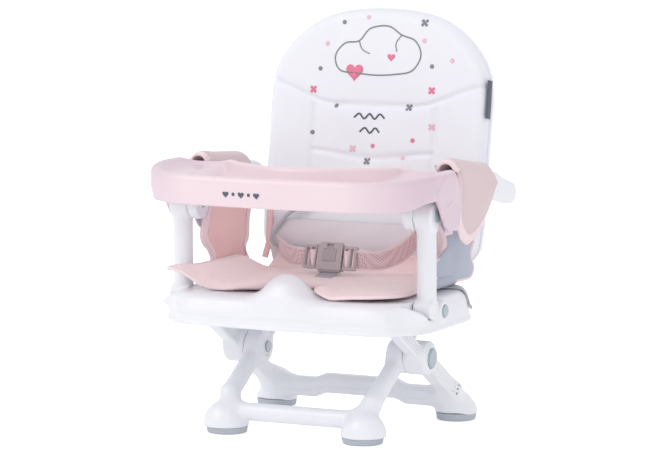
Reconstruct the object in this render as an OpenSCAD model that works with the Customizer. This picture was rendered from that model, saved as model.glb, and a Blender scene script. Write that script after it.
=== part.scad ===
// Folding booster seat: a moulded seat on scissor legs, with a tray, a padded back and folding arms.
// Millimetres. +X is the viewer's right, the seat faces -Y, and Z = 0 is the floor under the feet.

/* [Seat] */
// Half width of the seat's lower lip
seat_half_w = 198; // [194:1:199]
// Height of the seat's lower lip above the floor
seat_z0 = 155; // [154:1:156]
// Height of the seat pan's top edge
seat_z1 = 196; // [194:1:197]
// Height of the rounded stop between the child's legs
hump_top = 232; // [222:1:236]

/* [Legs] */
// Angle of the scissor legs above the floor
leg_angle = 31; // [30.9:0.1:31.1]
// Height of the legs' upper pivots
leg_pivot_z = 162; // [161:1:163]
// Height of the hub axis
hub_z = 105; // [104:1:106]
// Radius of the hub barrels
hub_r = 21; // [20:0.5:22]
// Radius of the round front leg tube
front_tube_r = 12.5; // [11:0.5:13]

/* [Back] */
// Rearward lean of the back, in degrees
back_lean = 9.5; // [9:0.5:10]
// Length of the back from its hinge to its top edge
back_len = 380; // [370:1:386]
// Half width of the back
back_half_w = 171; // [160:1:172]
// Thickness of the padded cover
pad_t = 20; // [16:1:20]

/* [Arms] */
// Radius of the arm post tube
post_r = 14; // [12:0.5:14]
// Radius of the post's upper knuckle
knuckle_r = 20.5; // [19:0.5:20.5]
// Radius of the arm pivot pins
pin_r = 5; // [4:0.5:6]

/* [Tray] */
// Half width of the tray
tray_half_w = 215; // [213:1:217]
// Height of the tray's rim
tray_top = 372; // [370:1:374]
// Height of the tray skirt's lower edge at the front
tray_bottom = 326; // [324:1:330]
// Tray wall thickness
tray_wall = 4; // [3:0.5:5]

/* [Hidden] */
$fn = 48;
// Scissor geometry: both legs cross at the hub at the same angle
hub_y = -5.6;
arm_len = (leg_pivot_z - hub_z) / sin(leg_angle);
pivot_y = hub_y - arm_len * cos(leg_angle);
slide_y = hub_y + arm_len * cos(leg_angle);
foot_y = 116;
ankle_z = hub_z - (foot_y - hub_y) * tan(leg_angle);
front_ankle_z = hub_z - (foot_y + hub_y) * tan(leg_angle);
rear_x = 142;
front_x = 110;
seam_x = 123;
// Back hinge, post pivot and knuckle
hinge_y = 124;
hinge_z = 198;
post_y = -91;
post_z = 186;
knuckle_y = -86;
knuckle_z = 313;
// The rear stud completes a parallelogram with the post
stud_y = hinge_y + knuckle_y - post_y;
stud_z = hinge_z + knuckle_z - post_z;
lock_y = -54;
lock_z = 180;
buckle_y = 2;
buckle_z = 236;
buckle_tilt = -18;

white_c = [0.95, 0.955, 0.97];
pink_c = [0.95, 0.84, 0.87];
fabric_c = [0.93, 0.74, 0.74];
grey_c = [0.68, 0.71, 0.76];
cap_c = [0.72, 0.76, 0.79];
steel_c = [0.75, 0.76, 0.78];
buckle_c = [0.66, 0.63, 0.63];

// A cylinder along X from x0 to x1 at (y, z)
module xcyl(x0, x1, y, z, r, fn = 48) {
  translate([x0, y, z]) rotate([0, 90, 0]) cylinder(h = x1 - x0, r = r, $fn = fn);
}

// A YZ outline extruded along X from x0 to x1
module xplate(x0, x1, pts) {
  translate([x0, 0, 0]) rotate([90, 0, 90]) linear_extrude(x1 - x0) polygon(pts);
}

// A round bar between two points
module bar(a, b, r, fn = 40) {
  d = b - a;
  l = norm(d);
  translate(a) rotate([0, acos(d.z / l), atan2(d.y, d.x)]) cylinder(h = l, r = r, $fn = fn);
}

module left() { mirror([1, 0, 0]) children(); }

// Bring the back's own frame (x, depth, length) onto the leaning back plane
module on_back() { translate([0, hinge_y, hinge_z]) rotate([-back_lean, 0, 0]) children(); }

// ---------- seat ----------
module seat_plan(inset) {
  hull() {
    for (sx = [-1, 1]) {
      translate([sx * (seat_half_w - 60), 62]) circle(60 - inset, $fn = 64);
      translate([sx * (seat_half_w - 70), -94]) circle(70 - inset, $fn = 64);
      translate([sx * 50, -72]) circle(100 - inset, $fn = 64);
    }
  }
}

function bell(t) = exp(-pow(abs(t) / 41, 2.5));

// Rounded stop: a bell in the front view, rounded over at the front and the back
module hump() {
  h = hump_top - seat_z1;
  intersection() {
    translate([0, -104, seat_z1 - 4]) rotate([90, 0, 0]) linear_extrude(72)
      polygon(concat([[-96, 0]], [for (t = [-96 : 4 : 96]) [t, 4 + h * bell(t)]], [[96, 0]]));
    xplate(-96, 96, concat(
      [[-172, seat_z1 - 14]],
      [for (a = [0 : 15 : 90]) [-172 + 3 + 20 * (1 - cos(a)), seat_z1 + h - 20 + 20 * sin(a)]],
      [for (a = [0 : 15 : 90]) [-126 + 14 * sin(a), seat_z1 + h - 14 + 14 * cos(a)]],
      [[-108, seat_z1 - 14]]));
  }
}

module seat_base() {
  color(white_c) difference() {
    union() {
      difference() {
        union() {
          translate([0, 0, seat_z0]) linear_extrude(4) seat_plan(-1.5);
          translate([0, 0, seat_z0 + 4]) linear_extrude(18) seat_plan(0);
          translate([0, 0, seat_z0 + 22]) linear_extrude(2) seat_plan(2);
          translate([0, 0, seat_z0 + 24]) linear_extrude(seat_z1 - seat_z0 - 30) seat_plan(5);
          translate([0, 0, seat_z1 - 6]) linear_extrude(3) seat_plan(7);
          translate([0, 0, seat_z1 - 3]) linear_extrude(3) seat_plan(12);
        }
        // hollow under the pan
        translate([0, 0, seat_z0 - 1]) linear_extrude(29) intersection() {
          seat_plan(9);
          square([336, 400], center = true);
        }
      }
      hump();
      // brackets that carry the front leg pivots
      for (sx = [-1, 1]) {
        for (bx = [128, 152]) {
          translate([sx * bx - 2, pivot_y - 12, seat_z0 + 1]) cube([4, 24, 30]);
        }
        // slide rails for the other legs' rollers
        for (bx = [95, 120.5]) {
          translate([sx * bx - 1.75, slide_y - 14, seat_z0 - 2]) cube([3.5, 40, 31]);
        }
        // rear lugs of the back hinge
        xcyl(sx * 128 - 7, sx * 128 + 7, hinge_y, hinge_z, 10);
        translate([sx * 128 - 7, 104, hinge_z - 26]) cube([14, hinge_y - 94, 26]);
        // bosses of the arm post pivots and the arm locks
        xcyl(sx * 163 - 8.3, sx * 163 + 8.3, post_y, post_z, 11);
        xcyl(sx * 184 - 13, sx * 184 + 13, lock_y, lock_z, 13.5);
        xcyl(sx * 184 - 14.6, sx * 184 + 14.6, lock_y, lock_z, 12);
      }
    }
    for (sx = [-1, 1]) {
      // side notch that holds the arm post and lets it swing forward and down
      xcyl(sx * 188.3 - 17, sx * 188.3 + 17, post_y, post_z, post_r + 1.6);
      xplate(sx * 188.3 - 17, sx * 188.3 + 17, [
        [post_y + post_r + 1.6, post_z], [post_y + post_r + 1.6, 250], [post_y - 84, 250],
        [post_y - 84, post_z - 18.4 + 0.583 * 84], [post_y, post_z - 18.4]
      ]);
      // bores of the arm post pins
      xcyl(sx * 163 - 8.4, sx * 163 + 8.4, post_y, post_z, pin_r);
      // pockets of the arm lock buttons
      xcyl(sx * 198 - 6, sx * 198 + 6, lock_y, lock_z, 8.2);
      // bores of the leg pivot pins
      xcyl(sx * 140 - 16, sx * 140 + 16, pivot_y, leg_pivot_z, 4);
      // straight guide slots
      translate([sx * 108 - 16, slide_y - 4.6, leg_pivot_z - 4.6]) cube([32, 70, 9.2]);
      // rear notches for the upper ends of the front frame
      translate([sx * 108 - 10.7, 105, seat_z0 - 3]) cube([21.4, 40, 21.5]);
      // bores of the back hinge pins
      xcyl(sx * 128 - 9, sx * 128 + 9, hinge_y, hinge_z, 4);
    }
    // opening for the crotch strap
    translate([-17, -42, seat_z0]) cube([34, 5, 60]);
  }
}

module seat_cushion() {
  color(fabric_c) difference() {
    union() {
      translate([0, 0, seat_z1 + 0.4]) linear_extrude(13) hull() {
        for (sx = [-1, 1]) {
          translate([sx * 120, 60]) circle(28);
          translate([sx * 128, -60]) circle(30);
        }
      }
      for (sx = [-1, 1]) {
        hull() {
          translate([sx * 100, -60, seat_z1 + 3]) cylinder(h = 12, r = 40);
          translate([sx * 112, -125, seat_z1 + 16]) cylinder(h = 9, r = 32);
        }
      }
    }
    translate([0, -130, seat_z1 - 5]) cylinder(h = 60, r = 62);
    translate([-20, -50, seat_z1 - 5]) cube([40, 60, 40]);
    translate([-44, -14, seat_z1 + 11]) cube([88, 40, 60]);
  }
}

// An upright fabric wall between the cushion and the arm, narrow near its foot
module side_panel() {
  color(grey_c) xplate(152, 155, [
    [-40, 214], [-52, 262], [-54, 300], [-46, 334], [84, 324], [92, 280], [82, 240], [86, 214]
  ]);
}
module side_panel_right() { side_panel(); }
module side_panel_left() { left() side_panel(); }

module crotch_strap() {
  color(grey_c) difference() {
    hull() {
      translate([-13, -40.6, seat_z1 - 2]) cube([26, 2.4, 2]);
      translate([-13, -6, buckle_z - 24]) cube([26, 2.4, 2]);
    }
    translate([-30, -60, 150]) cube([60, 60, 44.5]);
    translate([-30, -37.4, 150]) cube([60, 60, 46.8]);
  }
}

module on_buckle() { translate([0, buckle_y, buckle_z]) rotate([buckle_tilt, 0, 0]) children(); }

// Hollow snap buckle housing with a shaped opening for its release button
module buckle_body() {
  color(buckle_c) on_buckle() difference() {
    union() {
      translate([-19, -7, -18.5]) cube([38, 13, 37]);
      translate([-16, -5, 18.5]) cube([32, 9, 2.5]);
      translate([-16, -4, -21]) cube([32, 8, 2.5]);
    }
    translate([-16.5, -4.5, -15]) cube([33, 8, 30]);
    translate([-10.3, -8, -6.3]) cube([20.6, 5, 17.6]);
    translate([-5.3, -8, 10]) cube([10.6, 5, 9]);
    for (sx = [-1, 1]) {
      translate([sx * 18 - 4, -2.6, -9]) cube([8, 5.2, 18]);
    }
    translate([-13.5, -1.2, -22]) cube([27, 2.6, 8]);
  }
}

module buckle_button() {
  color(buckle_c) on_buckle() {
    translate([-10, -7.4, -6]) cube([20, 3, 17]);
    translate([-5, -7, 11]) cube([10, 2.6, 3.8]);
  }
}

// Ladder adjuster with a centre bar and the prongs that lock into the housing
module adjuster() {
  color(buckle_c) on_buckle() {
    difference() {
      translate([21, -5, -17]) cube([19, 8, 34]);
      translate([23.5, -6, -13]) cube([5.5, 12, 26]);
      translate([32, -6, -13]) cube([5, 12, 26]);
    }
    for (sz = [-1, 1]) {
      translate([6, -2, sz * 5.6 - 1.6]) cube([16, 4, 3.2]);
    }
  }
}
module belt_adjuster_right() { adjuster(); }
module belt_adjuster_left() { left() adjuster(); }

// Webbing from the adjuster to the slot in the back cover
module waist_belt(points) {
  color(fabric_c) for (i = [0 : len(points) - 2]) {
    hull() {
      for (p = [points[i], points[i + 1]]) {
        translate(p) rotate([-14, 0, 0]) cube([1.6, 1.8, 24], center = true);
      }
    }
  }
}
module waist_belt_right() {
  waist_belt([[40.9, 3, 236], [58, 10, 236], [76, 34, 237], [88, 68, 249], [88, 94, 270]]);
}
module waist_belt_left() {
  waist_belt([[-40.9, 3, 236], [-58, 10, 236], [-78, 34, 237], [-90, 68, 249], [-88, 94, 270]]);
}

// Strap over the rear corner of the pan that ties the seat to a chair
module chair_strap() {
  color(grey_c) translate([seat_half_w - 60, 62, 0]) rotate([0, 0, 22]) {
    translate([14, -16, seat_z1 + 0.2]) cube([48, 32, 1.6]);
    translate([60.8, -16, seat_z0 + 13]) cube([1.6, 32, seat_z1 - seat_z0 - 11.2]);
    translate([62.4, -16, seat_z0 + 13]) cube([5, 32, 2]);
  }
}
module chair_strap_right() { chair_strap(); }
module chair_strap_left() { left() chair_strap(); }

// ---------- back ----------
module back_plan(w, s0, s1) {
  intersection() {
    hull() {
      for (sx = [-1, 1]) {
        translate([sx * (w - 91), s1 - 110]) circle(88, $fn = 96);
        translate([sx * (w - 20), s0 + 20]) circle(20);
        translate([sx * (w - 40), s1 - 150]) circle(40, $fn = 64);
      }
      translate([0, s1 - 210]) circle(210, $fn = 120);
    }
    translate([-w, s0]) square([2 * w, s1 - s0]);
  }
}

module back_shell() {
  color(white_c) difference() {
    union() {
      difference() {
        on_back() {
          translate([0, 19, 0]) rotate([90, 0, 0]) linear_extrude(18.6) back_plan(back_half_w - 4, 44, back_len - 6);
          // forward wings that carry the arm studs
          for (sx = [-1, 1]) {
            translate([sx * 168 - 3, -16, 96]) cube([6, 26, 44]);
          }
        }
        for (sx = [-1, 1]) {
          xcyl(sx * 168 - 3, sx * 168 + 3, stud_y, stud_z, 13);
        }
        on_back() translate([0, 23, 0]) rotate([90, 0, 0]) linear_extrude(18)
          back_plan(back_half_w - 9, 51, back_len - 12);
      }
      // stiffening ribs behind the plate
      on_back() for (x = [-110, -55, 0, 55, 110]) {
        translate([x - 1.5, 4, 50]) cube([3, 12, back_len - 120]);
      }
      // hinge knuckles and the arms that join them to the plate
      for (sx = [-1, 1]) {
        xcyl(sx * 109 - 11, sx * 109 + 11, hinge_y, hinge_z, 9.5);
        on_back() translate([sx * 109 - 11, -4.5, 4]) cube([22, 9, 48]);
      }
    }
    for (sx = [-1, 1]) {
      xcyl(sx * 109 - 13, sx * 109 + 13, hinge_y, hinge_z, 4.05);
      // blind bores for the arm studs
      xcyl(sx * 168 - 5, sx * 168 + 5, stud_y, stud_z, 4);
    }
  }
}

module back_pad() {
  color(white_c) on_back() difference() {
    translate([0, 0, 0]) rotate([90, 0, 0]) linear_extrude(pad_t) difference() {
      back_plan(back_half_w, 74, back_len);
      for (sx = [-1, 1]) {
        translate([sx * back_half_w - 10, 74]) square([20, 86]);
      }
    }
    translate([0, -2, 0]) rotate([90, 0, 0]) linear_extrude(8) offset(-30) back_plan(back_half_w, 74, back_len);
  }
}

// Soft panel that closes the gap between the back cover and the cushion
module back_skirt() {
  color(white_c) hull() {
    translate([-130, 90, seat_z1 + 17]) cube([260, 2, 2]);
    translate([-140, 104, 268]) cube([280, 2, 1]);
  }
}

module back_stud() { color(steel_c) xcyl(164.5, 196.5, stud_y, stud_z, 4); }
module back_stud_right() { back_stud(); }
module back_stud_left() { left() back_stud(); }

module hinge_pin() { color(steel_c) xcyl(99, 135, hinge_y, hinge_z, 4); }
module back_hinge_pin_right() { hinge_pin(); }
module back_hinge_pin_left() { left() hinge_pin(); }

// Blank tab sewn into the right edge of the back cover
module side_label() {
  color("white") on_back() translate([back_half_w + 0.1, -12, 226]) cube([1.6, 16, 56]);
}

// ---------- arms ----------
module post() {
  color(white_c) difference() {
    union() {
      bar([186, post_y, post_z], [186, knuckle_y, knuckle_z], post_r);
      xcyl(172, 200, post_y, post_z, post_r);
      xcyl(172, 199, knuckle_y, knuckle_z, knuckle_r);
      xcyl(199, 200.2, knuckle_y, knuckle_z, knuckle_r - 1.5);
    }
    xcyl(160, 210, post_y, post_z, pin_r + 0.05);
    xcyl(197, 210, post_y, post_z, 8.1);
    xcyl(160, 210, knuckle_y, knuckle_z, pin_r);
    xcyl(198, 210, knuckle_y, knuckle_z, 8);
  }
}
module post_right() { post(); }
module post_left() { left() post(); }

// Spring button that frees the post to fold
module post_lock() { color(cap_c) xcyl(194.5, 200.5, lock_y, lock_z, 8); }
module post_lock_right() { post_lock(); }
module post_lock_left() { left() post_lock(); }

// Shouldered pins with a flat cap on the outer end
module lower_pin() {
  color(cap_c) {
    xcyl(155, 198, post_y, post_z, pin_r);
    xcyl(197.3, 199.5, post_y, post_z, 8);
  }
}
module post_lower_pin_right() { lower_pin(); }
module post_lower_pin_left() { left() lower_pin(); }

module upper_pin() {
  color(cap_c) {
    xcyl(155, 199, knuckle_y, knuckle_z, pin_r);
    xcyl(198, 201.4, knuckle_y, knuckle_z, 8);
  }
}
module post_upper_pin_right() { upper_pin(); }
module post_upper_pin_left() { left() upper_pin(); }

module armrest() {
  color(white_c) difference() {
    union() {
      // pivot ear inside the knuckle
      xcyl(156, 171.5, knuckle_y, knuckle_z, knuckle_r);
      translate([156, knuckle_y - 18, knuckle_z]) cube([15.5, 36, 24]);
      // low front beam held by the tray
      translate([156, -104, 335]) cube([42, 96, 22]);
      // sloping arm with a rounded tail
      xplate(178, 198, [
        [-10, 335], [-10, 357], [-4, 366], [4, 370], [133, 354], [160, 341],
        [204, 328.8], [200, 301.6], [160, 311]
      ]);
      xcyl(178, 198, 202, 315, 14);
    }
    xcyl(150, 190, knuckle_y, knuckle_z, pin_r + 0.05);
    xcyl(170, 210, stud_y, stud_z, 4.05);
  }
}
module armrest_right() { armrest(); }
module armrest_left() { left() armrest(); }

// Padded cover that wraps the arm: outer skirt, top and short inner side
module armrest_flap() {
  color(fabric_c) {
    xplate(203.5, 206.5, [
      [-40, 377], [-22, 374], [-12, 330], [-2, 280], [12, 270], [26, 276], [124, 340], [133, 352],
      [133, 364], [-20, 384]
    ]);
    xplate(174, 206.5, [[-38, 377], [-22, 374.5], [133, 359], [133, 363.5], [-20, 384]]);
    xplate(174, 177, [[-6, 330], [-6, 377], [133, 362], [133, 344], [112, 322]]);
  }
}
module armrest_flap_right() { armrest_flap(); }
module armrest_flap_left() { left() armrest_flap(); }

// ---------- tray ----------
module tray_outer() {
  hull() {
    for (sx = [-1, 1]) {
      translate([sx * (tray_half_w - 104), -104]) circle(104, $fn = 96);
      translate([sx * (tray_half_w - 48), -62]) circle(48, $fn = 64);
    }
    intersection() {
      circle(217, $fn = 160);
      translate([-150, -220]) square([300, 60]);
    }
  }
}

module tray_plan(inset) {
  offset(r = 12, $fn = 40) offset(delta = -12 - inset) difference() {
    tray_outer();
    translate([0, 46]) circle(156, $fn = 96);
  }
}

// Side view of the ears that reach down outside the arms
ear_side = [
  [-114, 346], [-104, 324], [-96, 310], [-88, 301], [-78, 294], [-66, 290.5], [-58, 293], [-50, 290],
  [-41, 294], [-35, 305], [-32, 330], [-36, 352], [-46, 366], [-84, 366]
];

module tray() {
  color(pink_c) difference() {
    union() {
      difference() {
        union() {
          difference() {
            union() {
              translate([0, 0, tray_bottom]) linear_extrude(2) tray_plan(3.4);
              translate([0, 0, tray_bottom + 2]) linear_extrude(2) tray_plan(2);
              translate([0, 0, tray_bottom + 4]) linear_extrude(tray_top - tray_bottom - 8) tray_plan(1);
              translate([0, 0, tray_top - 4]) linear_extrude(2.4) tray_plan(1.8);
              translate([0, 0, tray_top - 1.6]) linear_extrude(1.6) tray_plan(3.6);
            }
            // recessed dish
            translate([0, 0, tray_top - 26]) linear_extrude(40) tray_plan(15);
            // hollow underside
            translate([0, 0, tray_bottom - 1]) linear_extrude(17) tray_plan(1 + tray_wall);
          }
          // raised ends of the dish over the arm pockets
          for (sx = [-1, 1]) {
            intersection() {
              translate([sx * 179 - 31, -114, tray_bottom + 12]) cube([62, 110, tray_top - tray_bottom - 20]);
              translate([0, 0, tray_bottom]) linear_extrude(60) tray_plan(6);
            }
          }
        }
        for (sx = [-1, 1]) {
          // arm pockets, open to the rear and below
          translate([sx * 178 - 24.5, -108, tray_bottom - 2]) cube([49, 130, 359 - tray_bottom + 0.6]);
          // cut-away above the knuckles
          translate([sx * 177 - 29, -118, tray_bottom - 2]) cube([58, 130, 336 - tray_bottom]);
          translate([sx * 200 - 22, -118, tray_bottom - 2]) cube([44, 50, 336 - tray_bottom]);
        }
      }
      for (sx = [-1, 1]) {
        xplate(sx * 209.8 - 3.2, sx * 209.8 + 3.2, ear_side);
      }
    }
    // latch seats in the ears
    for (sx = [-1, 1]) {
      translate([sx * 207.3 - 1.7, -73, 284]) cube([3.4, 24, 37]);
      translate([sx * 208, -76, 317]) rotate([-90, 0, 0]) cylinder(h = 30, r = 1.25);
    }
  }
}

// Thin lift-out liner in the dish
module tray_liner() {
  color(pink_c) translate([0, 0, tray_top - 25.8]) linear_extrude(1.6) difference() {
    tray_plan(17);
    for (sx = [-1, 1]) {
      translate([sx * 182 - 37, -120]) square([74, 140]);
    }
  }
}

module tray_latch() {
  color(pink_c) {
    translate([205.8, -72, 286]) cube([2.4, 22, 34]);
    translate([208, -74, 317]) rotate([-90, 0, 0]) cylinder(h = 26, r = 1.2);
  }
}
module tray_latch_right() { tray_latch(); }
module tray_latch_left() { left() tray_latch(); }

// ---------- legs ----------
// One side of the outer frame
module rear_leg() {
  // upper arm with rounded end
  xcyl(130.6, 149.4, pivot_y, leg_pivot_z, 10.5);
  translate([131.2, hub_y, hub_z]) rotate([-leg_angle, 0, 0]) translate([0, -arm_len, -9.4]) cube([17.6, arm_len, 18.8]);
  // hub shell, from the seam to its raised outer ring
  xcyl(seam_x + 0.2, 155, hub_y, hub_z, hub_r);
  xcyl(150, 158.4, hub_y, hub_z, hub_r - 2.5);
  // lower leg
  translate([rear_x - 12, hub_y, hub_z]) rotate([-leg_angle, 0, 0]) translate([0, 0, -12]) cube([24, 131, 24]);
  // gusset between leg and cross bar
  translate([0, hub_y, hub_z]) rotate([-leg_angle, 0, 0]) translate([0, 0, -13]) linear_extrude(16)
    polygon([[104, 127], [133, 90], [133, 130], [104, 137]]);
}

// The outer frame: ribbed flat legs, hub shells and a filleted cross bar
module rear_leg_frame() {
  color(white_c) difference() {
    union() {
      rear_leg();
      left() rear_leg();
      xcyl(-136, 136, 104, ankle_z + 1, 12.6);
      xcyl(-56, 56, 104, ankle_z + 6, 11.3);
    }
    for (sx = [-1, 1]) {
      xcyl(sx * 140 - 12, sx * 140 + 12, pivot_y, leg_pivot_z, 4.05);
      // bolt bore and button pocket
      xcyl(sx * 141 - 19, sx * 141 + 19, hub_y, hub_z, 5);
      xcyl(sx * 152.8 - 6, sx * 152.8 + 6, hub_y, hub_z, 14.2);
      // three grooves along each leg
      for (g = [-6.5, 0, 6.5]) {
        translate([sx * rear_x, hub_y, hub_z]) rotate([-leg_angle, 0, 0])
          translate([sx * 12 - 1.2, 26, g - 1.5]) cube([2.4, 78, 3]);
      }
    }
  }
}

// The inner frame: a round tube bent into a U with hub shells at the crossing
module front_leg_frame() {
  color(white_c) difference() {
    union() {
      for (sx = [-1, 1]) {
        xcyl(sx * 108 - 9, sx * 108 + 9, slide_y, leg_pivot_z, 10);
        bar([sx * 108, slide_y, leg_pivot_z], [sx * 108, hub_y, hub_z], 9);
        xcyl(sx * 110 - 12.8, sx * 110 + 12.8, hub_y, hub_z, hub_r);
        bar([sx * front_x, hub_y, hub_z], [sx * front_x, -foot_y + 12, front_ankle_z + 12 * tan(leg_angle)], front_tube_r);
        translate([sx * front_x, -foot_y + 12, front_ankle_z + 12 * tan(leg_angle)]) sphere(front_tube_r + 0.7);
        bar([sx * front_x, -foot_y + 12, front_ankle_z + 12 * tan(leg_angle)], [sx * 98, -foot_y + 2, front_ankle_z], front_tube_r);
        translate([sx * 98, -foot_y + 2, front_ankle_z]) sphere(front_tube_r + 0.7);
      }
      bar([-98, -foot_y + 2, front_ankle_z], [98, -foot_y + 2, front_ankle_z], front_tube_r);
    }
    for (sx = [-1, 1]) {
      xcyl(sx * 110 - 16, sx * 110 + 16, hub_y, hub_z, 5.05);
      xcyl(sx * 108 - 12, sx * 108 + 12, slide_y, leg_pivot_z, 3.5);
      // small vent slot on the inner face of the hub
      translate([sx * 97 - 2, hub_y - 8, hub_z - 13]) cube([4, 16, 3]);
      // seat of the lock spring
      xcyl(sx * 117.8 - 5.1, sx * 117.8 + 5.1, hub_y, hub_z, 9);
    }
  }
}

module leg_pin() { color(steel_c) xcyl(126, 155, pivot_y, leg_pivot_z, 4); }
module leg_pivot_pin_right() { leg_pin(); }
module leg_pivot_pin_left() { left() leg_pin(); }

module hub_bolt() {
  color(steel_c) {
    xcyl(95, 146, hub_y, hub_z, 5);
    xcyl(93, 97, hub_y, hub_z, 8);
  }
}
module hub_bolt_right() { hub_bolt(); }
module hub_bolt_left() { left() hub_bolt(); }

module hub_button() {
  color(cap_c) {
    xcyl(151.5, 159, hub_y, hub_z, 14);
    xcyl(159, 160.5, hub_y, hub_z, 12);
  }
}
module hub_button_right() { hub_button(); }
module hub_button_left() { left() hub_button(); }

// Coil spring around the bolt, one ring per turn
module hub_spring() {
  color(steel_c) for (i = [0 : 4]) {
    translate([113.8 + i * 1.75, hub_y, hub_z]) rotate([0, 90, 0]) rotate_extrude($fn = 32)
      translate([7, 0]) circle(0.9, $fn = 16);
  }
}
module hub_spring_right() { hub_spring(); }
module hub_spring_left() { left() hub_spring(); }

module slide_roller() {
  color(steel_c) {
    xcyl(93, 123, slide_y, leg_pivot_z, 3.5);
    xcyl(93.4, 96.6, slide_y, leg_pivot_z, 4.5);
    xcyl(118.9, 122.1, slide_y, leg_pivot_z, 4.5);
  }
}
module slide_roller_right() { slide_roller(); }
module slide_roller_left() { left() slide_roller(); }

// ---------- feet ----------
module rear_boot() {
  hull() {
    translate([rear_x, foot_y + 8, 20]) sphere(22, $fn = 32);
    translate([rear_x, foot_y - 10, 30]) rotate([0, 90, 0]) cylinder(h = 36, r = 16, center = true, $fn = 32);
    translate([rear_x, foot_y + 2, 8]) cylinder(h = 8, r1 = 30, r2 = 28, $fn = 32);
  }
}

module rear_foot() {
  color(white_c) difference() {
    rear_boot();
    translate([rear_x - 50, 0, -20]) rotate([-6, 0, 0]) cube([100, 300, 32]);
    translate([rear_x - 60, 0, -40]) cube([120, 300, 49]);
  }
}
module rear_foot_right() { rear_foot(); }
module rear_foot_left() { left() rear_foot(); }

// Rubber sole, thinner towards the heel
module rear_sole() {
  color(grey_c) difference() {
    translate([rear_x, foot_y + 2, 0]) cylinder(h = 8.9, r1 = 27.5, r2 = 28.5);
    translate([rear_x, foot_y + 2, -1]) cylinder(h = 3, r = 12);
  }
}
module rear_sole_right() { rear_sole(); }
module rear_sole_left() { left() rear_sole(); }

module front_foot() {
  color(white_c) difference() {
    hull() {
      translate([104, -foot_y - 4, 22]) sphere(21, $fn = 32);
      translate([112, -foot_y + 16, 30]) sphere(18, $fn = 32);
      translate([104, -foot_y, 9]) cylinder(h = 6, r1 = 30, r2 = 28, $fn = 32);
      translate([92, -foot_y + 2, 27]) rotate([0, 90, 0]) cylinder(h = 10, r = 17, $fn = 32);
    }
    translate([40, -foot_y - 60, -40]) cube([130, 120, 49]);
  }
}
module front_foot_right() { front_foot(); }
module front_foot_left() { left() front_foot(); }

module front_sole() {
  color(grey_c) difference() {
    translate([104, -foot_y, 0]) cylinder(h = 8.9, r1 = 27.5, r2 = 28.5);
    translate([104, -foot_y, -1]) cylinder(h = 3, r = 12);
  }
}
module front_sole_right() { front_sole(); }
module front_sole_left() { left() front_sole(); }

seat_base();
seat_cushion();
side_panel_left();
side_panel_right();
crotch_strap();
buckle_body();
buckle_button();
belt_adjuster_left();
belt_adjuster_right();
waist_belt_left();
waist_belt_right();
chair_strap_left();
chair_strap_right();
back_shell();
back_pad();
back_skirt();
back_stud_left();
back_stud_right();
back_hinge_pin_left();
back_hinge_pin_right();
side_label();
post_left();
post_right();
post_lower_pin_left();
post_lower_pin_right();
post_upper_pin_left();
post_upper_pin_right();
post_lock_left();
post_lock_right();
armrest_left();
armrest_right();
armrest_flap_left();
armrest_flap_right();
tray();
tray_latch_left();
tray_latch_right();
rear_leg_frame();
front_leg_frame();
leg_pivot_pin_left();
leg_pivot_pin_right();
hub_bolt_left();
hub_bolt_right();
hub_button_left();
hub_button_right();
hub_spring_left();
hub_spring_right();
slide_roller_left();
slide_roller_right();
rear_foot_left();
rear_foot_right();
rear_sole_left();
rear_sole_right();
front_foot_left();
front_foot_right();
front_sole_left();
front_sole_right();
tray_liner();
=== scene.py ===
"""Looks of the folding booster seat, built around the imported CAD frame. Helper lengths are millimetres."""

from math import acos, atan2, cos, exp, pi, radians, sin, sqrt
from math import tan as tangent

import bpy
import numpy as np
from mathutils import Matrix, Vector
from mathutils.bvhtree import BVHTree


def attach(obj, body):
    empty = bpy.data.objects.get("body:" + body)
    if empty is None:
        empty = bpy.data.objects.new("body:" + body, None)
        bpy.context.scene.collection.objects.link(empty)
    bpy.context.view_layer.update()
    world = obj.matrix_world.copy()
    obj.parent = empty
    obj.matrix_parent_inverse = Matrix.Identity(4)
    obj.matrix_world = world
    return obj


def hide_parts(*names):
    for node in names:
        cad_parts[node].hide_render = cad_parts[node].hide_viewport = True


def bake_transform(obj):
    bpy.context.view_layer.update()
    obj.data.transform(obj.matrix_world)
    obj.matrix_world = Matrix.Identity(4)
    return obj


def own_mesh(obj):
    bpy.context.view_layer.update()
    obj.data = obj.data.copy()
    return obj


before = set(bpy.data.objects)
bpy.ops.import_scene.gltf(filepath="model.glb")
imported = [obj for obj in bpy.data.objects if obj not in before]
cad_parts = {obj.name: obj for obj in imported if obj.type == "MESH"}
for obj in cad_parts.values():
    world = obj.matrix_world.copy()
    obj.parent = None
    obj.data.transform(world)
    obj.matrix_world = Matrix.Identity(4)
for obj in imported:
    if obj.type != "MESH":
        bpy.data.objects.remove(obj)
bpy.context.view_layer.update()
MM = 0.001

# Key places of the CAD frame, in millimetres
LEG_ANGLE = radians(31)
HUB_Y, HUB_Z = -5.6, 105
PIVOT_Y, PIVOT_Z = -100.46, 162
SLIDE_Y = 89.26
REAR_X, FRONT_X = 142, 110
REAR_ANKLE_Z = 31.9
HINGE_Y, HINGE_Z = 124, 198
POST_Y, POST_Z = -91, 186
KNUCKLE_Y, KNUCKLE_Z = -86, 313
LOCK_Y, LOCK_Z = -54, 180
LEAN = radians(9.5)
PAN_Z, PAD_Z, BUCKLE_Z = 205, 203.5, 235
COVER_Z = 201.1
SIDES = (("left", -1), ("right", 1))


# ---- mesh helpers ----
def linked(name, data):
    """A new object in the scene."""
    ob = bpy.data.objects.new(name, data)
    bpy.context.scene.collection.objects.link(ob)
    return ob


def new_object(name, verts, faces, smooth=True):
    """A mesh object from millimetre vertices."""
    mesh = bpy.data.meshes.new(name)
    mesh.from_pydata((np.asarray(verts, float) * MM).tolist(), [], [tuple(int(i) for i in f) for f in faces])
    mesh.update()
    if smooth:
        mesh.shade_smooth()
    return linked(name, mesh)


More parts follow.
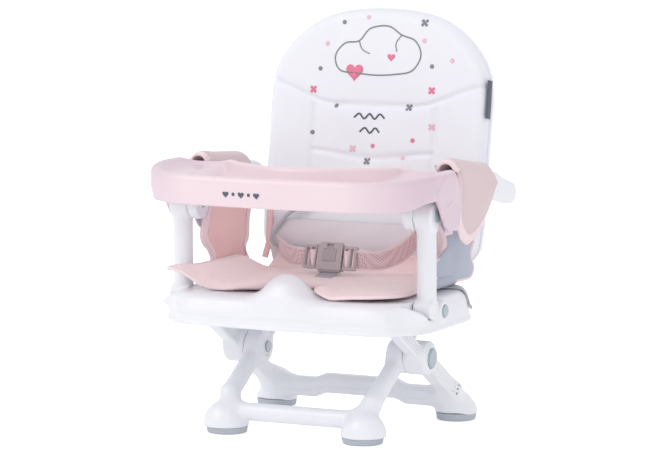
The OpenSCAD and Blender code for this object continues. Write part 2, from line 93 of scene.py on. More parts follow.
def points_of(mesh):
    return np.array([v.co for v in mesh.vertices], float)


def set_points(mesh, points):
    mesh.vertices.foreach_set("co", points.astype(np.float32).ravel())
    mesh.update()


def applied(ob):
    """Bake an object's modifiers into its mesh."""
    deps = bpy.context.evaluated_depsgraph_get()
    mesh = bpy.data.meshes.new_from_object(ob.evaluated_get(deps))
    ob.modifiers.clear()
    old = ob.data
    ob.data = mesh
    bpy.data.meshes.remove(old)
    return ob


def thicken(ob, thick):
    """Give a single-layer mesh some thickness, half to each side."""
    mod = ob.modifiers.new("thickness", "SOLIDIFY")
    mod.thickness = thick * MM
    mod.offset = 0
    return applied(ob)


def place(ob, body, slot, material, *replaced):
    """Material, slot, replaced CAD nodes and body of a finished piece; slot is not used."""
    ob.data.materials.clear()
    ob.data.materials.append(material)
    if replaced:
        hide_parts(*replaced)
    if body:
        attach(ob, body)
    return ob


def crumple(ob):
    """Give a soft piece its own copy of its mesh."""
    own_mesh(ob)


def over_hinge(ob):
    """Bake a soft piece's transform into its mesh."""
    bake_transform(ob)


def unit(rows):
    return rows / np.linalg.norm(rows, axis=1)[:, None]


def tangents(p, closed=False):
    return unit(np.roll(p, -1, 0) - np.roll(p, 1, 0) if closed else np.gradient(p, axis=0))


def band_faces(rings, count, loop=False, wrap=True):
    """Quads between rings of count points; loop joins last ring to first, wrap closes each ring."""
    return [(i * count + j, i * count + (j + 1) % count,
             (i + 1) % rings * count + (j + 1) % count, (i + 1) % rings * count + j)
            for i in range(rings if loop else rings - 1) for j in range(count if wrap else count - 1)]


def end_faces(rings, count):
    """The two faces that close the first and the last ring."""
    return [tuple(range(count - 1, -1, -1)), tuple((rings - 1) * count + k for k in range(count))]


def spline(points, n, closed=False):
    """Catmull-Rom curve through points, resampled to n points evenly along its length."""
    p = np.asarray(points, float)
    ext = np.vstack([p[-1], p, p[:2]] if closed else [2 * p[0] - p[1], p, 2 * p[-1] - p[-2]])
    out = []
    for a, b, c, d in zip(ext, ext[1:], ext[2:], ext[3:]):
        for t in np.linspace(0, 1, 16, endpoint=False):
            out.append(0.5 * (2 * b + (c - a) * t + (2 * a - 5 * b + 4 * c - d) * t * t
                              + (3 * b - a - 3 * c + d) * t ** 3))
    out.append(p[0] if closed else p[-1])
    out = np.array(out)
    length = np.r_[0, np.cumsum(np.linalg.norm(np.diff(out, axis=0), axis=1))]
    at = np.linspace(0, length[-1], n, endpoint=not closed)
    return np.stack([np.interp(at, length, out[:, k]) for k in range(p.shape[1])], 1)


def rounded(points, step=3.0):
    """Closed outline from (x, y, radius) corners, listed counter-clockwise."""
    out = []
    count = len(points)
    for i, corner in enumerate(points):
        p = np.array(corner[:2], float)
        r = corner[2] if len(corner) > 2 else 0
        if r == 0:
            out.append(p)
            continue
        a = np.array(points[i - 1][:2], float) - p
        b = np.array(points[(i + 1) % count][:2], float) - p
        a /= np.linalg.norm(a)
        b /= np.linalg.norm(b)
        half = acos(max(-1, min(1, a @ b))) / 2
        centre = p + (a + b) / np.linalg.norm(a + b) * r / sin(half)
        s, e = p + a * r / tangent(half) - centre, p + b * r / tangent(half) - centre
        a0, a1 = atan2(s[1], s[0]), atan2(e[1], e[0])
        turn = (a1 - a0 + pi) % (2 * pi) - pi
        n = max(3, int(abs(turn) * r / step))
        for t in np.linspace(0, 1, n + 1):
            out.append(centre + r * np.array([cos(a0 + turn * t), sin(a0 + turn * t)]))
    return np.array(out)


def tube(name, path, radius, sides=8, closed=False, flat=1.0, up=None):
    """A round or flattened cord along a path."""
    p = np.asarray(path, float)
    along = tangents(p, closed)
    verts = []
    ref = np.array(up or (0, 0, 1), float)
    side = None
    for centre, t in zip(p, along):
        s = np.cross(t, ref) if side is None or up else side - t * (side @ t)
        if np.linalg.norm(s) < 1e-6:
            s = np.cross(t, (1, 0, 0))
        side = s / np.linalg.norm(s)
        top = np.cross(side, t)
        for k in range(sides):
            a = 2 * pi * k / sides
            verts.append(centre + radius * (side * cos(a) + flat * top * sin(a)))
    faces = band_faces(len(p), sides, loop=closed)
    return new_object(name, verts, faces if closed else faces + end_faces(len(p), sides))


def ribbon(name, path, across, width, thick, lanes=7):
    """A webbing strap with fuller selvedges: centre line and the direction across it."""
    p = np.asarray(path, float)
    n = len(p)
    tan = tangents(p)
    ac = np.broadcast_to(np.asarray(across, float), (n, 3)).copy()
    ac -= tan * np.sum(ac * tan, 1)[:, None]
    ac = unit(ac)
    nor = np.cross(tan, ac)
    lane = np.arange(lanes) / (lanes - 1) * 2 - 1
    section = [(t * width / 2, thick / 2 * (1 + 0.3 * (abs(t) > 0.86))) for t in lane]
    section += [(u, -v) for u, v in section[::-1]]
    verts = [p[i] + ac[i] * u + nor[i] * v for i in range(n) for u, v in section]
    return new_object(name, verts, band_faces(n, 2 * lanes) + end_faces(n, 2 * lanes))


def sheet(name, grid, thick):
    """A grid of points as a closed sheet of some thickness."""
    g = np.asarray(grid, float)
    faces = [(a, d, c, b) for a, b, c, d in band_faces(*g.shape[:2], wrap=False)]
    ob = thicken(new_object(name, g.reshape(-1, 3), faces), thick)
    ob.data.shade_smooth()
    return ob


def lathe(name, centre, profile, sides, warp=None):
    """A turned form about a vertical axis; profile is (radius, height) from bottom to top."""
    verts = []
    for r, z in profile:
        for k in range(sides):
            a = 2 * pi * k / sides
            p = np.array([r * cos(a), r * sin(a), z])
            verts.append((warp(p) if warp else p) + np.array(centre, float))
    return new_object(name, verts, band_faces(len(profile), sides) + end_faces(len(profile), sides))


# ---- distance-field modelling for moulded plastic ----
def smin(a, b, k):
    h = np.maximum(k - np.abs(a - b), 0) / k
    return np.minimum(a, b) - h * h * k * 0.25


def smax(a, b, k):
    return -smin(-a, -b, k)


def hyp(*v):
    return np.sqrt(sum(c * c for c in v))


def capsule(x, y, z, a, b, ra, rb=None):
    a, b = np.array(a, float), np.array(b, float)
    d = b - a
    t = np.clip(((x - a[0]) * d[0] + (y - a[1]) * d[1] + (z - a[2]) * d[2]) / (d @ d), 0, 1)
    r = ra if rb is None else ra + (rb - ra) * t
    return hyp(x - a[0] - t * d[0], y - a[1] - t * d[1], z - a[2] - t * d[2]) - r


def rod_x(x, y, z, x0, x1, cy, cz, r, k=2.0):
    """Cylinder along X with edges rounded to about k."""
    u = hyp(y - cy, z - cz) - (r - k)
    v = np.abs(x - (x0 + x1) / 2) - ((x1 - x0) / 2 - k)
    return hyp(np.maximum(u, 0), np.maximum(v, 0)) + np.minimum(np.maximum(u, v), 0) - k


def block(x, y, z, half, k):
    """Rounded box about the origin."""
    q = [np.abs(c) - (h - k) for c, h in zip((x, y, z), half)]
    outside = hyp(*[np.maximum(c, 0) for c in q])
    return outside + np.minimum(np.maximum(np.maximum(q[0], q[1]), q[2]), 0) - k


def polygon(u, v, pts):
    """Signed distance to a closed polygon, negative inside."""
    pts = np.asarray(pts, float)
    best = np.full(np.broadcast(u, v).shape, 1e9, np.float32)
    inside = np.zeros(best.shape, bool)
    for a, b in zip(pts, np.roll(pts, -1, 0)):
        e = b - a
        t = np.clip(((u - a[0]) * e[0] + (v - a[1]) * e[1]) / (e @ e + 1e-12), 0, 1)
        best = np.minimum(best, (u - a[0] - t * e[0]) ** 2 + (v - a[1] - t * e[1]) ** 2)
        if a[1] != b[1]:
            crosses = ((a[1] > v) != (b[1] > v)) & (u < (b[0] - a[0]) * (v - a[1]) / (b[1] - a[1]) + a[0])
            inside ^= crosses
    return np.where(inside, -1, 1) * np.sqrt(best)


def ease(a, b, v):
    t = np.clip((v - a) / (b - a), 0, 1)
    return t * t * (3 - 2 * t)


def field_mesh(name, f, low, high, step):
    """Surface nets over the zero level of a distance field, then one step onto the exact surface."""
    axes = [np.arange(low[i], high[i] + step, step, dtype=np.float32) for i in range(3)]
    size = [len(a) for a in axes]
    x, y, z = np.meshgrid(*axes, indexing="ij", sparse=True)
    d = np.array(np.broadcast_to(f(x, y, z), size), np.float32)
    inside = d < 0
    cells = [s - 1 for s in size]
    total = np.zeros(cells, np.int8)
    corners = [(i, j, k) for i in (0, 1) for j in (0, 1) for k in (0, 1)]
    for i, j, k in corners:
        total += inside[i:i + cells[0], j:j + cells[1], k:k + cells[2]]
    base = np.argwhere((total > 0) & (total < 8))
    index = np.full(cells, -1, np.int64)
    index[tuple(base.T)] = np.arange(len(base))
    value = {c: d[base[:, 0] + c[0], base[:, 1] + c[1], base[:, 2] + c[2]] for c in corners}
    pos = np.zeros((len(base), 3))
    hits = np.zeros(len(base))
    for c in corners:
        for axis in range(3):
            if c[axis]:
                continue
            e = tuple(v + (n == axis) for n, v in enumerate(c))
            cross = (value[c] < 0) != (value[e] < 0)
            t = np.where(cross, value[c] / np.where(cross, value[c] - value[e], 1), 0)
            p = np.tile(np.array(c, float), (len(base), 1))
            p[:, axis] = t
            pos += p * cross[:, None]
            hits += cross
    verts = (base + pos / hits[:, None]) * step + np.array(low)
    v0 = f(verts[:, 0], verts[:, 1], verts[:, 2])
    grad = np.stack([(f(*(verts + e).T) - v0) / 0.2 for e in np.eye(3) * 0.2], 1)
    move = -(v0 / np.maximum((grad ** 2).sum(1), 0.2))[:, None] * grad
    length = np.linalg.norm(move, axis=1)[:, None]
    verts += move * np.minimum(1, 0.45 * step / np.maximum(length, 1e-9))
    faces = []
    for a in range(3):
        b, c = (a + 1) % 3, (a + 2) % 3
        s0, s1 = [slice(None)] * 3, [slice(None)] * 3
        s0[a], s1[a] = slice(0, -1), slice(1, None)
        edge = np.argwhere(inside[tuple(s0)] != inside[tuple(s1)])
        edge = edge[(edge[:, b] > 0) & (edge[:, c] > 0) & (edge[:, b] < cells[b]) & (edge[:, c] < cells[c])]
        quad = []
        for db, dc in ((-1, -1), (0, -1), (0, 0), (-1, 0)):
            q = edge.copy()
            q[:, b] += db
            q[:, c] += dc
            quad.append(index[tuple(q.T)])
        quad = np.stack(quad, 1)
        flip = ~inside[tuple(edge.T)]
        quad[flip] = quad[flip][:, ::-1]
        faces.append(quad)
    return new_object(name, verts, np.vstack(faces))


# ---- materials ----
class Graph:
    """The nodes of one shader, with short ways to add, fill and join them."""

    def __init__(self, owner):
        owner.use_nodes = True
        self.owner, self.tree = owner, owner.node_tree
        self.bsdf = self.tree.nodes.get("Principled BSDF")
        self.coord = self.add("TexCoord").outputs["Object"]

    def fill(self, node, values):
        """Set or link a node's inputs, by name or number."""
        for key, value in values.items():
            socket = node.inputs[key]
            if isinstance(value, bpy.types.NodeSocket):
                self.tree.links.new(value, socket)
            else:
                socket.default_value = (*value, 1) if socket.type == "RGBA" else value

    def add(self, kind, values=None, **settings):
        node = self.tree.nodes.new("ShaderNode" + kind)
        for key, value in settings.items():
            setattr(node, key, value)
        self.fill(node, values or {})
        return node

    def math(self, op, *values, clamp=False):
        return self.add("Math", dict(enumerate(values)), operation=op, use_clamp=clamp).outputs[0]

    def mix(self, fac, a, b):
        return self.add("Mix", {0: fac, 6: a, 7: b}, data_type="RGBA").outputs[2]

    def axes(self):
        return self.add("SeparateXYZ", {0: self.coord}).outputs

    def noise(self, scale, detail=3.0):
        values = {"Vector": self.coord, "Scale": scale, "Detail": detail}
        return self.add("TexNoise", values).outputs["Fac"]

    def weave(self, threads):
        """Over-and-under thread pattern from waves along the three axes, threads per metre."""
        x, y, z = (self.math("SINE", self.math("MULTIPLY", v, threads * 2 * pi)) for v in self.axes())
        xy, yz, xz = (self.math("MULTIPLY", a, b) for a, b in ((x, y), (y, z), (x, z)))
        return self.math("ADD", xy, self.math("ADD", yz, xz))

    def bump(self, height, strength, distance, invert=False):
        values = {"Height": height, "Strength": strength, "Distance": distance}
        return self.add("Bump", values, invert=invert).outputs[0]

    def finish(self, values):
        self.fill(self.bsdf, values)
        return self.owner


def srgb(r, g, b):
    return tuple(c / 12.92 if c <= 0.04045 else ((c + 0.055) / 1.055) ** 2.4
                 for c in (r / 255, g / 255, b / 255))


def darker(colour, part):
    return tuple(c * part for c in colour)


def plastic(name, colour, rough=0.32, coat=0.25, grain=0.02, side=None):
    """Moulded plastic: cloudy tone, fine texture, painted highlight on sharp edges; side is a painted shade
    tint on both end zones along X.
    """
    g = Graph(bpy.data.materials.new(name))
    tone = g.mix(g.noise(14), colour, darker(colour, 0.95))
    # painted shade: with side given, both end zones along X blend to the darker side colour they show in
    # shade
    if side:
        far = g.math("ABSOLUTE", g.axes()[0])
        end_shade_mask = g.add("MapRange", {"Value": far, "From Min": 0.12, "From Max": 0.205}).outputs[0]
        tone = g.mix(end_shade_mask, tone, side)
    # painted highlight: sharp convex edges (high pointiness) are lightened as if they catch the light
    edge = g.add("NewGeometry").outputs["Pointiness"]
    edge_highlight = g.math("MULTIPLY", g.math("SUBTRACT", edge, 0.52), 6.0, clamp=True)
    highlight_tone = tuple(min(1.0, c * 1.05 + 0.02) for c in colour)
    return g.finish({
        "Base Color": g.mix(edge_highlight, tone, highlight_tone),
        "Roughness": g.math("MULTIPLY_ADD", g.noise(30, 4), 0.12, rough - 0.06),
        "Normal": g.bump(g.noise(900, 2), grain, 0.0004),
        "Coat Weight": coat, "Coat Roughness": 0.22,
        "Subsurface Weight": 0.04, "Subsurface Radius": (0.004, 0.003, 0.003)})


def fabric(name, colour, rough=0.75, sheen=0.35, threads=900, bump_size=0.35, shade=0.9, coat=0.0):
    """Woven cloth: thread relief, soft tone changes, faint wrinkles and a sheen."""
    g = Graph(bpy.data.materials.new(name))
    dark = darker(colour, shade)
    woven = g.weave(threads)
    height = g.math("ADD", g.math("MULTIPLY", woven, 0.10), g.noise(45, 3))
    tone = g.mix(g.noise(9, 4), colour, dark)
    return g.finish({
        "Base Color": g.mix(g.math("MULTIPLY", woven, 0.05, clamp=True), tone, dark),
        "Normal": g.bump(height, bump_size, 0.0015), "Roughness": rough,
        "Sheen Weight": sheen, "Sheen Roughness": 0.4, "Coat Weight": coat, "Coat Roughness": 0.35})


def webbing(name, colour, hole, threads=260):
    """Open knitted webbing: rows of small cells with darker holes."""
    g = Graph(bpy.data.materials.new(name))
    holes = g.math("MULTIPLY", g.weave(threads), 0.6, clamp=True)
    return g.finish({"Base Color": g.mix(holes, colour, hole), "Roughness": 0.7, "Sheen Weight": 0.3,
                     "Normal": g.bump(holes, 0.6, 0.001, invert=True)})


def metal(name, colour):
    g = Graph(bpy.data.materials.new(name))
    streak = g.noise(400, 4)
    return g.finish({"Base Color": g.mix(streak, colour, darker(colour, 0.8)), "Metallic": 1,
                     "Roughness": g.math("MULTIPLY_ADD", streak, 0.2, 0.2)})


def ink(name, r, g, b):
    """Print on cloth: nearly flat and without sheen."""
    return fabric(name, srgb(r, g, b), rough=0.6, sheen=0.1, bump_size=0.1)


WHITE = plastic("white_plastic", srgb(239, 240, 246))
LEG_WHITE = plastic("leg_white_plastic", srgb(240, 241, 247), 0.3, 0.3)
# side colour: painted shade on the tray's turned end zones
TRAY_PINK = plastic("tray_pink_plastic", srgb(240, 219, 226), 0.3, 0.3, side=srgb(221, 199, 213))
CAP = plastic("cap_plastic", srgb(178, 192, 200), 0.4, 0.15)
BUCKLE = plastic("buckle_plastic", srgb(188, 177, 181), 0.42, 0.12, 0.06)
BUTTON = plastic("buckle_button_plastic", srgb(176, 166, 170), 0.38, 0.12, 0.06)
RUBBER = plastic("grey_rubber", srgb(186, 192, 200), 0.62, 0.0, 0.1)
STEEL = metal("steel", srgb(190, 194, 200))
PINK_CLOTH = fabric("pink_cloth", srgb(255, 235, 236), shade=0.98)
PANEL_CLOTH = fabric("panel_cloth", srgb(250, 208, 207), shade=0.94)
PINK_EDGE = fabric("pink_binding", srgb(252, 229, 233), rough=0.65, threads=1300, shade=0.95)
FLAP_CLOTH = fabric("flap_cloth", srgb(224, 202, 207), rough=0.6, shade=0.95)
GREY_CLOTH = fabric("grey_cloth", srgb(182, 188, 206), rough=0.6, shade=0.93)
GREY_SATIN = fabric(
    "grey_satin", srgb(186, 190, 196), rough=0.35, sheen=0.2, threads=1200, bump_size=0.2, coat=0.4)
WHITE_CLOTH = fabric(
    "white_cloth", srgb(241, 242, 249), rough=0.6, sheen=0.2, threads=800, bump_size=0.25, shade=0.975)
# painted shade: the white cover cloth in the darker tone it shows in shadow under the tray, used on the skirt
SHADED_WHITE_CLOTH = fabric("shaded_white_cloth", srgb(226, 218, 224), rough=0.7, shade=0.95)
BELT_PINK = webbing("belt_pink", srgb(238, 214, 218), srgb(190, 168, 176))
PRINT_GREY = ink("print_grey", 140, 142, 150)
PRINT_DARK = ink("print_dark", 92, 98, 112)
PRINT_PINK = ink("print_pink", 240, 130, 160)
PRINT_PALE = ink("print_pale_pink", 246, 200, 212)


# ---- tray ----
TRAY_PLAN = rounded([(0, -217.5), (215, -202, 104), (215, -29, 30), (-215, -29, 30), (-215, -202, 104)], 5)
EAR = rounded([(-118, 348, 6), (-99, 326, 14), (-89, 311, 10), (-80, 299, 8), (-68, 290, 7), (-58, 292.5, 6),
                (-48, 289.5, 7), (-38, 294, 9), (-32, 316, 18), (-36, 350, 20), (-52, 366, 8), (-90, 366, 8)],
                2)


def tray_field(x, y, z):
    ax = np.abs(x)
    plan = smax(polygon(x, y, TRAY_PLAN), -(hyp(x, y - 46) - 156), 18)
    inset = 0.8 + 2.8 * (1 - ease(326, 346, z)) + 1.0 * (1 - ease(325, 328, z))
    roll = np.clip((y + 66) / 40, 0, 1)
    rim = 367 + 8 * ease(-208, -90, y)
    body = smax(plan + inset, z - rim + 26 * (1 - np.sqrt(np.maximum(1 - roll * roll, 0.02))), 9)
    arch = 10 * ease(-172, -128, y) * ease(150, 190, ax)
    body = smax(body, 326 + arch - z, 2)
    floor = 347 + 17 * ease(118, 148, ax)
    body = smax(body, -smax(plan + 13 + 4 * ease(375, 350, z), floor - z, 14), 6)
    under = smax(plan + inset + 5.2, z - (floor - 4.5), 3)
    body = smax(body, -under, 2)
    pocket = block(ax - 178, y + 43, z - 329, (24.5, 65, 30.6), 1.5)
    knuckle = block(ax - 180, y + 93, z - 322, (60, 26, 13.6), 6)
    inner = block(ax - 177, y + 53, z - 322, (29, 65, 14), 4)
    body = smax(smax(smax(body, -pocket, 1.5), -knuckle, 5), -inner, 2)
    ear = smax(polygon(y, z, EAR), np.abs(ax - 210) - 3.7, 2.4)
    body = smin(body, ear, 5)
    latch = block(ax - 206.2, y + 61, z - 300, (1.5, 12, 20.5), 0.3)
    body = smax(body, -latch, 0.6)
    rib = capsule(ax, y, z, (213.2, -80, 325), (213.2, -55, 335), 1.5)
    return smin(body, rib, 1.5)


# ---- seat shell ----
SEAT_PLAN = rounded([(0, -173.5), (198, -163, 72), (198, 122, 108), (-198, 122, 108), (-198, -163, 72)], 5)


def seat_field(x, y, z):
    ax = np.abs(x)
    plan = polygon(x, y, SEAT_PLAN)
    inset = np.interp(z, [150, 158, 160.5, 168, 178, 187, 197],
                      [-1.4, -1.2, 0.3, 1.8, 3.5, 6, 9]).astype(np.float32)
    body = smax(plan + inset, z - 196.4, 13)
    body = smax(body, 155 - z, 1.5)
    bell = np.exp(-(ax / 41) ** 2.5)
    crest = 187 + 43 * bell
    hump = smax(smax((z - crest) * 0.72, np.abs(y + 138.5) - 33.5, 40), 176 - z, 4)
    body = smin(body, hump, 16)
    hollow = smax(smax(plan + 9, ax - 166, 4), z - 184, 8)
    body = smax(body, -hollow, 2)
    for bx in (128, 152):
        body = smin(body, block(ax - bx, y - PIVOT_Y, z - 171, (2, 12, 15), 0.8), 2)
    for bx in (95, 120.5):
        rail = block(ax - bx, y - 97, z - 170, (1.8, 22, 16), 0.6)
        slot = block(ax - bx, y - 98.6, z - PIVOT_Z, (4, 14.4, 5.2), 1)
        body = smin(body, smax(rail, -slot, 0.6), 1.5)
    body = smin(body, smin(rod_x(ax, y, z, 121, 135, HINGE_Y, HINGE_Z, 10, 1.5),
                           block(ax - 128, y - 117, z - 184, (7, 12, 14), 1.5), 2), 4)
    body = smin(body, rod_x(ax, y, z, 154.7, 171.3, POST_Y, POST_Z, 11, 1.5), 3)
    body = smin(body, rod_x(ax, y, z, 172, 198.6, LOCK_Y, LOCK_Z, 14, 2), 6)
    notch = rod_x(ax, y, z, 171.4, 212, POST_Y, POST_Z, 15.6, 0.6)
    wedge = [(POST_Y + 15.6, POST_Z), (POST_Y + 15.6, 260), (POST_Y - 84, 260), (POST_Y - 84, 216.6),
             (POST_Y, 167.6), (POST_Y + 9, 173)]
    swing = smax(polygon(y, z, wedge), np.abs(ax - 191.8) - 20.4, 2)
    body = smax(body, -smax(smin(notch, swing, 2), 172.4 - z, 1), 2)
    body = smax(body, -rod_x(ax, y, z, 183, 206, LOCK_Y, LOCK_Z, 8.5, 0.3), 0.8)
    body = smax(body, -rod_x(ax, y, z, 140, 180, POST_Y, POST_Z, 5.1, 0.3), 0.5)
    body = smax(body, -block(ax - 108, y - 125, z - 160, (10.8, 20, 14), 2), 2)
    dent = hyp(ax - 217, y + 182, z - 178) - 60
    body = smax(body, -dent, 5)
    return smax(body, -block(x, y + 39.5, z - 200, (17, 2.6, 40), 1), 1)


# ---- legs ----
def along_leg(y, z):
    """Distance along and square to the rear frame's slope, from the hub."""
    dy, dz = y - HUB_Y, z - HUB_Z
    c, s = cos(LEG_ANGLE), sin(LEG_ANGLE)
    return dy * c - dz * s, dy * s + dz * c


def rear_field(x, y, z):
    ax = np.abs(x)
    t, q = along_leg(y, z)
    upper = smax(block(ax - 140, t + 55, q, (9.2, 56, 10.2), 3), ax - 149.4, 1)
    eye = rod_x(ax, y, z, 130.6, 149.4, PIVOT_Y, PIVOT_Z, 10.5, 1.5)
    arm = smin(upper, eye, 2)
    hub = smin(rod_x(ax, y, z, 123.2, 156.2, HUB_Y, HUB_Z, 24, 4),
               rod_x(ax, y, z, 150, 158.4, HUB_Y, HUB_Z, 19, 1), 2)
    leg = block(ax - REAR_X, t - 62, q, (12, 66, 12.4), 5.5)
    body = smin(smin(leg, hub, 9), arm, 6)
    rise = 7 * (1 - ease(52, 74, ax))
    bar = block(x, y - 104, z - REAR_ANKLE_Z - 1 - rise, (138, 10.5, 14.5), 8)
    ridge = np.minimum(np.abs(z - REAR_ANKLE_Z - 7 - rise), np.abs(z - REAR_ANKLE_Z + 5 - rise))
    bar = bar - 1.3 * np.exp(-(ridge / 2.2) ** 2) * (y < 104)
    body = smin(body, bar, 34)
    boot = smin(capsule(ax, y, z, (REAR_X, 98, 40), (REAR_X, 121, 20), 15, 22),
                smax(hyp(ax - REAR_X, y - 118) - 30 + 0.28 * np.maximum(z - 11, 0), z - 22, 8), 12)
    boot = smax(boot, 9.1 - z + 3 * np.exp(-((y - 92) / 8) ** 2), 1.5)
    body = smin(body, boot, 8)
    body = smax(body, -rod_x(ax, y, z, 151.2, 162, HUB_Y, HUB_Z, 14.3, 0.4), 0.8)
    for g in (-6.4, 0, 6.4):
        lower = block(ax - 154, t - 66, q - g, (1.5, 41, 1.5), 0.7)
        top = block(ax - 149.3, t + 58, q - g * 0.8, (1.4, 30, 1.3), 0.6)
        slot = block(ax - 154, t - 114, q - g, (2.0, 3.6, 1.7), 0.7)
        for cut in (lower, top, slot):
            body = smax(body, -cut, 0.9)
    return body


def front_field(x, y, z):
    ax = np.abs(x)
    upper = capsule(ax, y, z, (108, SLIDE_Y, PIVOT_Z), (108, HUB_Y, HUB_Z), 9)
    eye = rod_x(ax, y, z, 99, 117, SLIDE_Y, PIVOT_Z, 10, 1.5)
    hub = rod_x(ax, y, z, 97.2, 122.8, HUB_Y, HUB_Z, 23.5, 3)
    leg = smin(capsule(ax, y, z, (FRONT_X, HUB_Y, HUB_Z), (FRONT_X - 1, -96, 52), 12.4, 13),
               capsule(ax, y, z, (FRONT_X - 1, -96, 52), (FRONT_X - 5, -110, 30), 13), 6)
    bar = capsule(ax, y, z, (-1, -112, 30), (98, -112, 30), 12.6)
    body = smin(smin(leg, bar, 22), smin(upper, eye, 3), 4)
    body = smin(body, hub, 8)
    dome = (hyp((ax - 106) / 30.5, (y + 117) / 31, (z - 13) / 31) - 1) * 29
    skirt = smax(hyp(ax - 104, y + 116) - 29.6 + 0.3 * np.maximum(z - 14, 0), z - 20, 8)
    boot = smax(smin(dome, skirt, 5), 9.1 - z, 1.5)
    body = smin(body, boot, 5)
    body = smax(body, 9.1 - z, 1.0)
    body = smax(body, -block(ax - 97, y - HUB_Y, z - HUB_Z + 11.5, (1.8, 8, 1.6), 0.6), 0.8)
    return smax(body, -rod_x(ax, y, z, 80, 93.2, HUB_Y, HUB_Z, 8.2, 0.5), 0.5)


# ---- arms ----
def post_field(x, y, z):
    slope = (KNUCKLE_Y - POST_Y - 7) / (KNUCKLE_Z - POST_Z)
    stem = capsule(x, y, z, (186, POST_Y + 4, POST_Z), (186, KNUCKLE_Y - 3, KNUCKLE_Z), 13)
    flat = smax(np.abs(x - 186) - 13.2, np.abs(y - POST_Y - 4 - slope * (z - POST_Z)) - 13, 16)
    stem = smin(stem, smax(flat, np.abs(z - 240) - 60, 2), 2)
    foot = rod_x(x, y, z, 172, 200, POST_Y, POST_Z, 14, 2.5)
    head = rod_x(x, y, z, 172, 200.2, KNUCKLE_Y, KNUCKLE_Z, 20.5, 4)
    body = smin(smin(smax(stem, 173 - z, 3), smax(foot, 172.6 - z, 3), 3), head, 5)
    body = smax(body, -rod_x(x, y, z, 198.2, 210, KNUCKLE_Y, KNUCKLE_Z, 8.2, 0.3), 0.8)
    body = smax(body, -rod_x(x, y, z, 197.2, 210, POST_Y, POST_Z, 8.2, 0.3), 0.8)
    return body


ARM_SIDE = rounded([(
    -12, 334, 4), (150, 311, 60), (178, 304, 24), (202, 301, 14), (206, 330, 12), (158, 343, 20),
    (133, 354, 40), (4, 370, 12), (-10, 364, 10)], 3)


def arm_field(x, y, z):
    ear = rod_x(x, y, z, 156, 171.5, KNUCKLE_Y, KNUCKLE_Z, 20.5, 3)
    neck = block(x - 163.7, y - KNUCKLE_Y, z - 329, (7.8, 18, 16), 3)
    beam = block(x - 177, y + 56, z - 346, (21, 48, 11), 3)
    arm = smax(polygon(y, z, ARM_SIDE), np.abs(x - 188) - 10, 7)
    body = smin(smin(smin(ear, neck, 5), beam, 5), arm, 5)
    return smax(body, -rod_x(x, y, z, 160, 197, 129, 325, 4.1, 0.2), 0.3)


def mirrored(name, ob):
    """The left twin of a right-hand piece."""
    mesh = ob.data.copy()
    set_points(mesh, points_of(mesh) * (-1, 1, 1))
    mesh.flip_normals()
    return linked(name, mesh)


COARSE = 1.0
tray = field_mesh("tray_shell", tray_field, (-218, -221, 284), (218, 4, 379), 2.0 * COARSE)
place(tray, "tray", "pink_plastic", TRAY_PINK, "tray", "tray_liner")
seat = field_mesh("seat_shell", seat_field, (-203, -178, 152), (203, 138, 238), 2.2 * COARSE)
place(seat, "seat", "white_plastic", WHITE, "seat_base")
rear = field_mesh("rear_frame", rear_field, (-176, -114, 6), (176, 152, 176), 1.5 * COARSE)
place(rear, "rear_legs", "white_plastic", LEG_WHITE, "rear_leg_frame", "rear_foot_left", "rear_foot_right")
front = field_mesh("front_frame", front_field, (-137, -150, 6), (137, 103, 175), 1.6 * COARSE)
place(front, "front_legs", "white_plastic", LEG_WHITE, "front_leg_frame", "front_foot_left",
      "front_foot_right")
post = field_mesh("post_tube_right", post_field, (169, -114, 168), (204, -62, 336), 1.1 * COARSE)
arm = field_mesh("arm_beam_right", arm_field, (153, -110, 289), (201, 221, 373), 1.4 * COARSE)
for side, sign in SIDES:
    p = post if sign > 0 else mirrored("post_tube_left", post)
    place(p, "posts", "white_plastic", WHITE, "post_" + side)
    a = arm if sign > 0 else mirrored("arm_beam_left", arm)
    place(a, "armrests", "white_plastic", WHITE, "armrest_" + side)

SOLE = [(0.01, 2), (12, 2), (12.8, 0.2), (14, 0), (17, 0), (17.4, 0.9), (19, 0.9), (19.4, 0), (22.5, 0),
         (22.9, 0.9), (24.4, 0.9), (24.8, 0), (26.4, 0), (27.4, 0.8), (27.9, 2.2), (28.9, 7.6), (28.7, 8.6),
         (27.9, 9.3), (0.01, 9.3)]
for side, sign in SIDES:
    for end, body, x, y in (("rear", "rear_legs", REAR_X, 118), ("front", "front_legs", 104, -116)):
        tilt = (lambda p: p * np.array([1, 1, 1 - 0.006 * p[1]])) if end == "rear" else None
        sole = lathe(f"{end}_pad_{side}", (sign * x, y, 0), SOLE, 72, tilt)
        place(sole, body, "grey_rubber", RUBBER, f"{end}_sole_{side}")


# ---- back cover ----
def on_back(x, n, s):
    """The leaning back's own frame (x, depth, length) in the row frame."""
    c, k = cos(LEAN), sin(LEAN)
    return np.stack(np.broadcast_arrays(x, HINGE_Y + n * c + s * k, HINGE_Z - n * k + s * c), -1)


BACK_HALF = [(45, 379.5), (86, 370.5), (118, 354), (146, 328.5), (164, 299), (171, 264), (171.5, 225),
              (171, 180), (171, 135), (171, 98), (170, 64), (165, 38), (144, 25), (60, 22)]
BACK_OUTLINE = spline([(
    0, 382), *BACK_HALF, (0, 22), *((-x, s) for x, s in BACK_HALF[::-1])], 460, closed=True)
BACK_CENTRE = np.array([0.0, 205.0])


def groove(d, width=3.6):
    return np.exp(-(d / width) ** 2)


